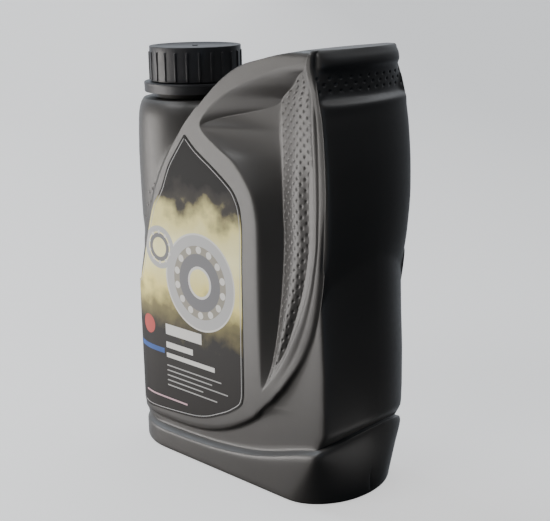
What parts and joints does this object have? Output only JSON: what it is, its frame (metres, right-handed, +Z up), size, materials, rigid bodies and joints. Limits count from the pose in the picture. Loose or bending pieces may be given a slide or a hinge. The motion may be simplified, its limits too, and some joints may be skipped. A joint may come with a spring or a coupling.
{
  "type": "gear oil bottle",
  "caption": "Flat moulded plastic gear oil bottle with an offset neck, ribbed screw cap and tamper ring, a label round one end, and a scooped finger recess at the grip.",
  "frame": {"origin": "centre of the bottle's outline seen from above, on the plane it stands on", "axes": "+Z up along the neck, +X from the neck end to the grip end, the front with the label's middle faces -Y"},
  "size_m": [0.1354, 0.058, 0.188],
  "materials": {
    "bottle": "satin gunmetal moulded plastic",
    "tamper_ring": "black moulded plastic",
    "screw_cap": "black moulded plastic",
    "cap_liner": "white foamed plastic",
    "label": "printed film"
  },
  "bodies": {
    "bottle": {"bottle": "bottle", "tamper_ring": "tamper_ring", "label": "label"},
    "liner": {"cap_liner": "cap_liner"},
    "cap": {"screw_cap": "screw_cap"}
  },
  "joints": [
    {"name": "cap_lift", "type": "slide", "parent": "bottle", "child": "liner", "axis": [0, 0, 1], "range_m": [0, 0.0135]},
    {"name": "cap_turn", "type": "hinge", "parent": "liner", "child": "cap", "pos_m": [-0.039, 0, 0.176], "axis": [0, 0, 1], "range_deg": [0, 1170]}
  ],
  "couplings": [
    {"joint": "cap_lift", "follows": "cap_turn", "m_per_rad": 0.00063662}
  ]
}
